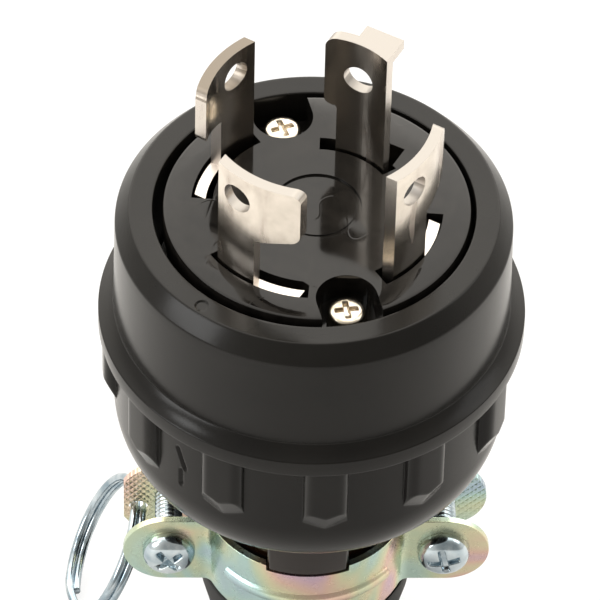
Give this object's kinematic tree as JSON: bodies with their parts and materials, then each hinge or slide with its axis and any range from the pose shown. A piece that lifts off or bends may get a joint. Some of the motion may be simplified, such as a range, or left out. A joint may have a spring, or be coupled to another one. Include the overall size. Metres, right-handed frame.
{
  "type": "locking power plug",
  "caption": "Round twist-locking power plug with curved hooked blades, a ribbed cover, a metal cord clamp and a hanging split ring.",
  "frame": {"origin": "centre of the cord entry, in the plane of the cord bush's flat end", "axes": "+Z runs along the plug towards the blades; the clamp's ears lie along X, with the eye for the ring at -X"},
  "size_m": [0.0616, 0.0564, 0.1045],
  "materials": {
    "moulded_black": "satin moulded phenolic or nylon",
    "insert_black": "glossy moulded thermoset",
    "base_brown": "dull moulded thermoset",
    "nickel_brass": "bright nickel plate on brass",
    "screw_nickel": "bright nickel plate on steel",
    "earth_green": "green dyed plating",
    "plate_brass": "rolled brass",
    "insert_brass": "turned brass",
    "bush_rubber": "matt moulded rubber",
    "clamp_zinc": "zinc plate with a pale rainbow passivation",
    "screw_zinc": "blue zinc plate",
    "ring_zinc": "blue zinc plated wire"
  },
  "bodies": {
    "plug": {"body_shell": "moulded_black", "rear_cover": "moulded_black", "face_insert": "insert_black", "terminal_base": "base_brown", "earth_blade": "nickel_brass", "blade_x": "nickel_brass", "blade_y": "nickel_brass", "blade_z": "nickel_brass", "line_terminal_screws": "screw_nickel", "earth_terminal_screw": "earth_green", "line_wire_plates": "plate_brass", "earth_wire_plate": "plate_brass", "base_screws": "screw_nickel", "face_screws": "screw_nickel", "threaded_inserts": "insert_brass", "cord_bush": "bush_rubber", "clamp_front": "clamp_zinc", "clamp_rear": "clamp_zinc", "clamp_screws": "screw_zinc"},
    "ring": {"split_ring": "ring_zinc"}
  },
  "joints": [
    {"name": "ring_swing", "type": "hinge", "parent": "plug", "child": "ring", "pos_m": [-0.023, 0.005, 0.01935], "axis": [0, 1, 0], "range_deg": [-35, 100]}
  ]
}
